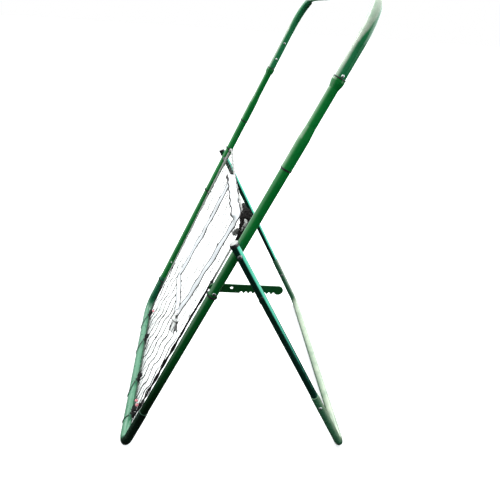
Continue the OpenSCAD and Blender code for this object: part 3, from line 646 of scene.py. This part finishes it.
# net: twine strands with a knot at every crossing
net = Build(tilt)
for n_s, (a, b_) in enumerate(STRANDS):
    pa, pb = KNOT[a], KNOT[b_]
    d = pb - pa
    L = np.linalg.norm(d)
    s = np.linspace(0, 1, 5)[:, None]
    sag = RNG.normal(0, 0.35, 3) + np.array([0, 0.5, -0.35])
    p = pa + d * s + sag * (4 * s * (1 - s))
    # every third column is worked with doubled twine, and the twine is worn thin towards the top
    r_ = (1.7 if (n_s % NI) % 3 == 1 else 0.6) * float(np.interp((pa[2] + pb[2]) / 2, [260, 420], [1.0, 0.60]))
    tube(net, p, max(0.5, r_) * (1 + 0.12 * RNG.normal()), 5, cap=False)
kt = np.linspace(0, 2 * np.pi, 15)
knot_line = np.stack([np.sin(kt) + 2 * np.sin(2 * kt), -np.sin(3 * kt) * 1.1, np.cos(kt) - 2 * np.cos(2 * kt)], 1) * 0.42
for (i, j), k in IDX.items():
    if i in (0, NI) or j in (0, NJ):
        continue
    a = RNG.uniform(0, 2 * np.pi)
    c, s_ = math.cos(a), math.sin(a)
    q = knot_line @ np.array([[c, 0, s_], [0, 1, 0], [-s_, 0, c]]) * RNG.uniform(0.9, 1.15)
    tube(net, KNOT[k] + q, 0.75, 4, cap=False)
net.piece("net_panel_mesh", M["twine"], ["net_panel"])

# border rope through the net's edge knots
rope_pts = KNOT[RING]
start = int(np.argmin((rope_pts[:, 0] - 262) ** 2 + (rope_pts[:, 2] - 850) ** 2))
rope_pts = np.roll(rope_pts, -start, axis=0)
rope_pts = np.vstack([rope_pts, rope_pts[:1] + (6, 0, 2)])
rope_line = smooth_path(rope_pts, 1.5, 2)
rope = Build(tilt)
laid(rope, rope_line, 3.3, 19.0, 3, 7, 10)
core = rope_line[::3]
tube(rope, core, 2.5, 8)
# the net's selvedge cord, laced round the rope up its right side
m_ = (rope_line[:, 0] > 250) & (rope_line[:, 2] > LOW + 14) & (rope_line[:, 2] < 640)
side_line = resample(rope_line[m_], 3.0)
t_, u_, w_ = frames(side_line)
sa = np.arange(len(side_line)) * 3.0
o_ = 3.6 + 1.4 * np.clip((300 - side_line[:, 2]) / 120, 0, 1) * (0.5 + 0.5 * np.sin(sa / 17.0))
a = sa / 22.0
laid(rope, side_line + (np.cos(a)[:, None] * u_ + np.sin(a)[:, None] * w_) * o_[:, None], 1.2, 7.0, 3, 5, 7)
low_ = side_line[:, 2] < 400
a = a[low_] + np.pi
laid(rope, side_line[low_] + (np.cos(a)[:, None] * u_[low_] + np.sin(a)[:, None] * w_[low_]) * (o_[low_] + 0.6)[:, None], 1.9, 8.0, 3, 5, 7)
# hitches of net twine round the rope at every edge knot
for (i, j), k in IDX.items():
    if i in (0, NI) or j in (0, NJ):
        c = KNOT[k]
        dd = np.linalg.norm(rope_line - c, axis=1)
        m_ = int(np.clip(np.argmin(dd), 2, len(rope_line) - 3))
        t = unit(rope_line[m_ + 2] - rope_line[m_ - 2])
        u = unit(np.cross(t, (0, 1, 0)))
        w = np.cross(t, u)
        a = np.linspace(0, 2 * np.pi * 2, 22)
        p = rope_line[m_] + (np.cos(a)[:, None] * u + np.sin(a)[:, None] * w) * 3.6 + t * np.linspace(-1.3, 1.3, 22)[:, None]
        tube(rope, p, 0.75, 5)
rope.piece("net_border_rope_laid", M["strand"], ["net_border_rope"])


# ---------------------------------------------------------------- lashing round the bottom bar
LC, LO = BR + LR + 0.1, RR + LR + 0.3


def turned(p):
    """The lashing is laid out with the rope straight above the bar, then turned with it to where the rope lies."""
    p = np.asarray(p, float)
    c, s_ = math.cos(DIR), math.sin(DIR)
    return np.stack([p[..., 0], p[..., 1] * c + p[..., 2] * s_, -p[..., 1] * s_ + p[..., 2] * c], -1)


def turn_line(x, slant):
    pts = []
    for k in np.linspace(0, 3, 16):
        a = math.radians(np.interp(k, [0, 1, 2, 3], [75, 25, -25, -72]))
        pts.append((x + 2 * k, -LO * math.sin(a), ROPE_Z + LO * math.cos(a)))
    for k in np.linspace(3.1, 13, 60):
        a = math.radians(-72 - (k - 3) * 24)
        t = (k - 3) / 10
        pts.append((x + 6 * (1 - t) + slant * math.sin(math.pi * t ** 1.3), -LC * math.sin(a), LC * math.cos(a)))
    return turned(pts)


def overhand(c, size, axis_jitter):
    """A small overhand knot: a trefoil pulled flat and turned a little."""
    a = np.linspace(0, 2 * np.pi, 44)
    q = np.stack([np.sin(a) + 2 * np.sin(2 * a), -np.sin(3 * a) * 1.3, np.cos(a) - 2 * np.cos(2 * a)], 1) * size
    j = axis_jitter
    q = q @ np.array([[math.cos(j), 0, math.sin(j)], [0, 1, 0], [-math.sin(j), 0, math.cos(j)]])
    return c + q


lash = Build()
knots = Build()
for n_l, (x, slant) in enumerate(LASH):
    line = turn_line(x, slant)
    laid(lash, line, LR, 7.0, 3, 6, 8)
    # the tied end: two overhand knots on the net side, a slack bow and two tails
    c = np.array([x - 8, 4.0, 27.5])
    laid(knots, overhand(c, 3.3, 0.4 * n_l), 2.0, 7.0, 3, 5, 8)
    laid(knots, overhand(c + (-7, 3.5, 9.0), 2.9, 1.1 + 0.5 * n_l), 1.9, 7.0, 3, 5, 8)
    laid(knots, overhand(c + (8, 2.0, 7.0), 2.6, 2.0 + 0.5 * n_l), 1.8, 7.0, 3, 5, 8)
    laid(knots, overhand(c + (1, 4.5, 16.0), 2.4, 2.6 + 0.7 * n_l), 1.7, 7.0, 3, 5, 8)
    laid(knots, smooth_path([c + (2, 0, 1), c + (5, 2.5, -1), line[0] + (0, -0.8, 1.5), line[0]], 0.8), 1.3, 7.0, 3, 5, 8)
    for sx, up in ((-1, 9), (1, 7), (-0.6, 14)):
        bow = [c + (0, -1, 2), c + (7 * sx, -5, up * 0.7), c + (15 * sx, -4, up), c + (17 * sx, 0, up + 3), c + (11 * sx, 2, up + 5), c + (3 * sx, 0, 5)]
        laid(knots, smooth_path(bow, 0.8), 1.3, 7.0, 3, 5, 8)
    for sx, dz in ((-1.2, 16), (0.9, 21)):
        laid(knots, smooth_path([c + (0, -1, 2), c + (5 * sx, -4, 7), c + (12 * sx, -3, dz), c + (14 * sx, 1, dz + 6)], 0.8), 1.25, 7.0, 3, 5, 8)
lash.piece("bar_lashing_cord", M["cord"], ["bar_lashing"])
knots.piece("tie_knots_cord", M["cord"], ["tie_knots"])

# ---------------------------------------------------------------- ties between the rope and the rails
ties = Build()
RX = 380.0
for s in (1, -1):
    for h, hr in TIES:
        rail = BR if h < 178 else TR
        through = s == 1 and h != TIES[1][0]
        if not through:
            turns = 2
            a = np.linspace(0, 2 * np.pi * turns, 60 * turns)
            loop = np.stack([s * (RX - np.cos(a) * (rail + 1.6)), np.sin(a) * (rail + 1.6), h - 2.2 + (4.4 if s == 1 else 0.0) + 4.4 * a / a[-1] + 0.5 * np.sin(a * 1.5)], 1)
            laid(ties, loop, 1.45, 7.0, 3, 6, 8)
        # across to the rope, round it and back
        rope_at = tilt((s * side_x(s, hr), 0.0, hr))
        rail_at = np.array([s * (RX - rail - 3), 0.0, h])
        d = rail_at - rope_at
        L = np.linalg.norm(d)
        e = d / L
        n_ = unit(np.cross(e, (0, 0, 1.0)))
        o = 4.6
        q = [rail_at + (0, 1.0, 0), rope_at + e * L * 0.6 + n_ * 1.2, rope_at + e * min(9, L * 0.45) + n_ * 2.4, rope_at + e * 1.5 + n_ * o, rope_at - e * o * 0.75 + n_ * o * 0.7, rope_at - e * o,
             rope_at - e * o * 0.75 - n_ * o * 0.7, rope_at + e * 1.5 - n_ * o, rope_at + e * min(9, L * 0.45) - n_ * 2.2, rope_at + e * L * 0.6 - n_ * 1.0, rail_at + (0, -1.0, 0)]
        laid(ties, smooth_path(q, 0.8, 2), 1.35, 7.0, 3, 6, 8)
        laid(ties, overhand(rope_at + e * min(11, L * 0.6), 1.25, 0.7), 1.3, 7.0, 3, 5, 8)
        if through:
            tube(ties, [rail_at + (-1, 0, 0), rail_at + (2, 0, 0), rail_at + (5, 0, 0)], 1.7, 8)
        else:
            laid(ties, overhand(rail_at + e * -1.2, 1.2, 0.2), 1.3, 7.0, 3, 5, 8)
ties.piece("side_ties_cord", M["cord"], ["side_ties"])

# ---------------------------------------------------------------- beads on the tie ends
beads = Build()
bead_cord = Build()
for bx, by, bz in ((-220, 2, 94), (263, -3.8, 86), (274.6, 2, 79.4)):
    a = np.linspace(-math.pi / 2 + 0.22, math.pi / 2 - 0.22, 12)
    prof = [(4.9 * math.cos(t), 4.9 * math.sin(t)) for t in a]
    prof = [(1.3, prof[0][1] + 0.25)] + prof + [(1.3, prof[-1][1] - 0.25)]
    ax = unit(np.array([0.35, -0.2, 1.0]))
    u = unit(np.cross(ax, (0, 1, 0)))
    w = np.cross(ax, u)
    n_, k_ = len(prof), 20
    ang = 2 * np.pi * np.arange(k_) / k_
    v = np.array([[np.array([bx, by, bz]) + ax * h + r * (math.cos(t) * u + math.sin(t) * w) for t in ang] for r, h in prof]).reshape(-1, 3)
    f, uv = [], []
    for i in range(n_):
        i2 = (i + 1) % n_
        for k in range(k_):
            k2 = (k + 1) % k_
            f.append([i * k_ + k, i * k_ + k2, i2 * k_ + k2, i2 * k_ + k])
            uv.append([(0, 0)] * 4)
    beads.add(v, f, uv)
    # the cord through the bore
    p = [np.array([bx, by, bz]) + ax * h for h in (-13, -8, 0, 8, 12)]
    laid(bead_cord, smooth_path([p[0] + (2, 3, -3)] + p + [p[-1] + (1, 4, 6)], 0.8), 0.95, 5.0, 3, 5, 8)
beads.piece("tie_beads_bored", M["bead"], ["tie_beads"])
bead_cord.piece("tie_beads_cord", M["cord"], ())

# ---------------------------------------------------------------- netting gathered round the rope at the upper right corner
BUNCH = np.array([[321, 2, 792, 5], [319, 3, 804, 8], [313, 4, 818, 12], [303, 4, 831, 15], [289, 4, 842, 17], [273, 4, 849, 16],
                  [257, 3, 851, 10], [240, 2, 851, 6.5], [222, 1, 850, 4.6], [205, 0, 850, 4.2]], float)
bunch_line = resample(BUNCH[:, :3], 4.0)
bd = np.r_[0, np.cumsum(np.linalg.norm(np.diff(BUNCH[:, :3], axis=0), axis=1))]
bunch_r = np.interp(np.linspace(0, bd[-1], len(bunch_line)), bd, BUNCH[:, 3])
bt, bu, bw = frames(bunch_line)
gather = Build(tilt)
nb = len(bunch_line)
for k in range(110):
    # each strand wanders round the rope inside the bundle
    long_ = k % 3 == 0
    i0 = int(RNG.integers(0, nb // 4))
    i1 = nb - 1 if long_ else int(RNG.integers(nb // 3, int(nb * 0.62)))
    ii = np.arange(i0, i1)
    ph, tw = RNG.uniform(0, 2 * np.pi), RNG.uniform(-0.16, 0.16)
    rr = RNG.uniform(0.35, 0.97)
    a = ph + tw * (ii - i0) + 0.5 * np.sin(ii * RNG.uniform(0.2, 0.5) + ph)
    rad = np.maximum(3.6, bunch_r[ii] * (rr + 0.12 * np.sin(ii * RNG.uniform(0.3, 0.8) + 3 * ph)) - 0.9)
    p = bunch_line[ii] + (np.cos(a)[:, None] * bu[ii] + np.sin(a)[:, None] * bw[ii]) * rad[:, None]
    tube(gather, smooth_path(p, 1.8, 1), 1.05, 5)
for k in range(34):
    # loops of slack mesh standing off the bundle
    i0 = int(RNG.integers(3, int(nb * 0.5)))
    c, r_ = bunch_line[i0], bunch_r[i0]
    a0 = RNG.uniform(0, 2 * np.pi)
    d0 = math.cos(a0) * bu[i0] + math.sin(a0) * bw[i0]
    d1 = math.cos(a0 + 0.9) * bu[i0] + math.sin(a0 + 0.9) * bw[i0]
    h = r_ * RNG.uniform(0.75, 1.05)
    p = [c + d0 * r_ * 0.4, c + d0 * h + bt[i0] * 3, c + (d0 + d1) * 0.5 * h * 1.08 + bt[i0] * 8, c + d1 * h + bt[i0] * 12, c + d1 * r_ * 0.4 + bt[i0] * 15]
    tube(gather, smooth_path(p, 1.6, 2), 0.8, 5)
# twine wound round the bundle to hold it
for i0, turns in ((int(nb * 0.14), 4), (int(nb * 0.42), 4), (int(nb * 0.62), 3), (int(nb * 0.8), 3)):
    a = np.linspace(0, 2 * np.pi * turns, 20 * turns)
    p = bunch_line[i0] + (np.cos(a)[:, None] * bu[i0] + np.sin(a)[:, None] * bw[i0]) * (bunch_r[i0] * 0.93) + bt[i0] * (np.linspace(-0.9, 0.9, len(a)) * turns)[:, None]
    tube(gather, p, 0.9, 5)
tube(gather, bunch_line, np.maximum(3.2, bunch_r * 0.62), 12)
gather.piece("gathered_net_tangle", M["tangle"], ["gathered_net"])

# frayed grey end of the gathering twine
fray = Build(tilt)
c0 = np.array([313.0, -9.0, 818.0])
for k in range(240):
    d = unit(np.array([RNG.normal(0.05, 0.22), RNG.normal(-0.12, 0.22), RNG.normal(-1.0, 0.15)]))
    L = RNG.uniform(10, 22)
    side = unit(np.cross(d, RNG.normal(0, 1, 3)))
    s = np.linspace(0, 1, 6)[:, None]
    p = c0 + RNG.normal(0, 1.6, 3) + d * L * s + side * (3.0 * RNG.uniform(0.2, 1) * s ** 2)
    tube(fray, p, np.linspace(0.5, 0.3, 6), 4)
fray.piece("gathered_net_frayed_end", M["fray"], ())

# ---------------------------------------------------------------- target ribbon, laced through the net
CORNERS = np.array([[-143, 354], [119, 366], [246, 825], [-71, 837]], float)


def rounded_loop(c, r, step):
    out = []
    n = len(c)
    for k in range(n):
        a, b_, d = c[k - 1], c[k], c[(k + 1) % n]
        u, v = unit(a - b_), unit(d - b_)
        th = math.acos(float(np.clip(np.dot(u, v), -1, 1)))
        t = r / math.tan(th / 2)
        p0, p1 = b_ + u * t, b_ + v * t
        for s in np.linspace(0, 1, 9):
            out.append((1 - s) ** 2 * p0 + 2 * s * (1 - s) * b_ + s * s * p1)
    out.append(out[0])
    return resample(np.c_[np.array(out)[:, 0], np.zeros(len(out)), np.array(out)[:, 1]], step)


loop = rounded_loop(CORNERS, 17, 3.0)[:-1]
# begin at the lower right corner, where the ends are knotted
k0 = int(np.argmin((loop[:, 0] - 119) ** 2 + (loop[:, 2] - 364) ** 2))
loop = np.roll(loop, -k0, axis=0)
loop = np.vstack([loop, loop[:1]])
S = np.r_[0, np.cumsum(np.linalg.norm(np.diff(loop, axis=0), axis=1))]
tt = unit(np.gradient(loop, axis=0))
inward = np.stack([-tt[:, 2], np.zeros(len(tt)), tt[:, 0]], 1)
on_top = np.clip((loop[:, 2] - 800) / 25, 0, 1)
on_low = np.clip((391 - loop[:, 2]) / 20, 0, 1)
lace = np.cos(2 * np.pi * S / 96.0)
scallop = np.sin(2 * np.pi * S / 108.0)
pos = loop + inward * ((1.4 * np.sin(2 * np.pi * S / 173.0)) * (1 - on_top) + 2.6 * scallop * on_top)[:, None]
pos[:, 1] = [net_y(x, z) for x, z in pos[:, [0, 2]]]
ker = np.ones(9) / 9
pos[:, 1] = np.convolve(np.pad(pos[:, 1], 4, mode="edge"), ker, "valid")
pos[:, 1] += -5.2 + 0.9 * lace - 7.5 * on_top
width = 24.0 - 1.0 * (0.5 + 0.5 * lace) + on_top * (5.5 - 5.0 * (0.5 - 0.5 * np.cos(4 * np.pi * S / 108.0)))
# the faces turn a little out of the net's plane: outward on the sides, upward on the top and bottom runs
turn = np.radians(15 + 5 * np.sin(2 * np.pi * S / 151.0 + 1)) * (1 - on_top) * (1 - on_low)
turn_z = np.radians(60 + 12 * scallop) * on_top + np.radians(20) * on_low
nr = np.stack([np.sin(turn), -np.cos(turn) * np.cos(turn_z), np.sin(turn_z)], 1)
rib = Build(tilt)
strip(rib, pos, nr, width, 0.7, 8, crown=0.9)
rib.piece("target_ribbon_woven", M["ribbon"], ["target_ribbon"])


def hem(b, p, nrm, width, r=1.5):
    """The corded hem along both edges of a strip of ribbon."""
    t = unit(np.gradient(p, axis=0))
    nn = unit(nrm - t * (nrm * t).sum(1, keepdims=True))
    sd = np.cross(t, nn) * (np.broadcast_to(np.asarray(width, float), (len(p),)) / 2)[:, None]
    for k in (1, -1):
        tube(b, p + k * sd, r, 6)


hems = Build(tilt)
hem(hems, pos, nr, width)

knot = Build(tilt)
c = pos[0] + (2, -2.5, -8)
# the loop of the knot: the ribbon turns round on itself
a = np.linspace(-0.3, 2 * np.pi - 0.1, 46)
p = np.stack([c[0] + 4.0 * np.sin(a / 2), c[1] + 3.0 - 5.0 * np.sin(a), c[2] + 3 + 14 * np.cos(a)], 1)
n_ = np.stack([0.5 + 0 * a, -np.sin(a), 0.4 * np.cos(a)], 1)
strip(knot, p, n_, 15 + 3 * np.cos(a), 0.7, 6, crown=1.4)
hem(hems, p, n_, 15 + 3 * np.cos(a), 0.8)
# the crossing turn
a = np.linspace(0, 2 * np.pi, 40)
p = np.stack([c[0] + 9.5 * np.cos(a), c[1] + 4.0 - 8.5 * np.sin(a), c[2] - 13 + 2.0 * np.sin(2 * a)], 1)
n_ = np.stack([np.cos(a), -np.sin(a), 0.45 + 0 * a], 1)
strip(knot, p, n_, 15, 0.7, 6, crown=1.4)
hem(hems, p, n_, 15, 0.8)
# two tails that hang edge to edge behind the mesh, their faces to the right
for x_, y_, drop, roll_ in ((3.0, 10.0, 59, 0.25), (-3.5, 20.0, 54, -0.2)):
    q = smooth_path([c + (x_ * 0.4, 4.0, -12), c + (x_ * 0.7, 5.0 + y_ * 0.3, -22), c + (x_, 4.5 + y_ * 0.6, -13 - drop * 0.55), c + (x_ * 1.3, 4.5 + y_, -13 - drop)], 2.0)
    s = np.linspace(0, 1, len(q))
    n_ = np.stack([0.55 * np.cos(roll_ * s), -0.85 + 0.10 * np.sin(8 * s), 0.08 * np.sin(7 * s)], 1)
    wide = 14 + 9.5 * np.clip(s * 1.6, 0, 1)
    strip(knot, q, n_, wide, 0.7, 8, crown=0.8)
    hem(hems, q, n_, wide, 0.8)
    t_ = unit(q[-1] - q[-2])
    side_ = np.cross(t_, unit(n_[-1] - t_ * np.dot(n_[-1], t_)))
    tube(hems, q[-1] + np.linspace(-1, 1, 9)[:, None] * side_ * wide[-1] / 2, 0.7, 6)
hems.piece("target_ribbon_hem", M["hem"], ())
knot.piece("ribbon_knot_tied", M["tied"], ["ribbon_knot"])

# ---------------------------------------------------------------- floor, world and lights
me = bpy.data.meshes.new("floor")
me.from_pydata([(-40, -40, 0), (40, -40, 0), (40, 40, 0), (-40, 40, 0)], [], [(0, 1, 2, 3)])
floor = bpy.data.objects.new("floor", me)
bpy.context.scene.collection.objects.link(floor)
mat, nt, b = new_mat("pale_floor")
b.inputs["Base Color"].default_value = (0.86, 0.86, 0.855, 1)
b.inputs["Roughness"].default_value = 0.9
b.inputs["Specular IOR Level"].default_value = 0.1
me.materials.append(mat)
floor.visible_glossy = False
floor.visible_diffuse = False

world = bpy.data.worlds.new("studio")
bpy.context.scene.world = world
world.use_nodes = True
nt = world.node_tree
nt.nodes.clear()
out = node(nt, "ShaderNodeOutputWorld")
tc = node(nt, "ShaderNodeTexCoord").outputs["Generated"]


def toward(direction, lo, hi):
    d = node(nt, "ShaderNodeVectorMath", operation="DOT_PRODUCT")
    link(nt, tc, d.inputs[0])
    v = Vector(direction).normalized()
    d.inputs[1].default_value = v
    return maprange(nt, d.outputs["Value"], lo, hi, 0.0, 1.0, True)


lp = node(nt, "ShaderNodeLightPath")
sky = mix(nt, toward((0, 0, 1), -0.02, 0.55), (1.5, 1.55, 1.55), (1.95, 2.02, 2.05))
sky = mix(nt, toward((0, -1, 0.1), 0.35, 0.95), sky, (1.15, 1.22, 1.20))
sky = mix(nt, toward((-0.75, 0.55, 0.35), 0.35, 0.95), sky, (2.6, 2.75, 2.75))
# a dark room end behind the camera: seen in the gloss, softer as light
soft = mix(nt, toward((1, 0.0, 0.0), 0.30, 0.95), sky, (0.75, 0.78, 0.77))
soft = mix(nt, toward((0, 0, -1), 0.0, 0.15), soft, (0.06, 0.065, 0.06))
gloss = mix(nt, toward((1, 0.0, 0.0), 0.12, 0.80), sky, (0.03, 0.035, 0.033))
gloss = mix(nt, toward((0, 0.95, -0.1), 0.62, 0.95), gloss, (2.1, 2.3, 2.3))
gloss = mix(nt, toward((0, 0, -1), 0.16, 0.34), gloss, (0.02, 0.022, 0.02))
sky = mix(nt, lp.outputs["Is Diffuse Ray"], gloss, soft)
bg_env = node(nt, "ShaderNodeBackground")
link(nt, sky, bg_env.inputs["Color"])
bg_env.inputs["Strength"].default_value = 1.0
bg_cam = node(nt, "ShaderNodeBackground")
bg_cam.inputs["Color"].default_value = (1.0, 1.0, 1.0, 1)
bg_cam.inputs["Strength"].default_value = 1.0
mx = node(nt, "ShaderNodeMixShader")
link(nt, lp.outputs["Is Camera Ray"], mx.inputs[0])
link(nt, bg_env.outputs[0], mx.inputs[1])
link(nt, bg_cam.outputs[0], mx.inputs[2])
link(nt, mx.outputs[0], out.inputs[0])


def area(name, loc, target, size, power, color=(1, 1, 1)):
    d = bpy.data.lights.new(name, "AREA")
    d.shape = "DISK"
    d.size = size
    d.energy = power
    d.color = color
    o = bpy.data.objects.new(name, d)
    bpy.context.scene.collection.objects.link(o)
    o.location = loc
    o.rotation_mode = "QUATERNION"
    o.rotation_quaternion = (Vector(target) - Vector(loc)).to_track_quat("-Z", "Y")
    return o


area("key_softbox", (-1.3, -1.6, 3.2), (0, 0, 0.4), 2.2, 75)
area("rim_softbox", (-1.6, 2.2, 2.4), (0, 0, 0.5), 1.6, 40)

sc = bpy.context.scene
sc.view_settings.view_transform = "Standard"
sc.view_settings.look = "None"
sc.view_settings.exposure = 0.0
sc.view_settings.gamma = 1.0
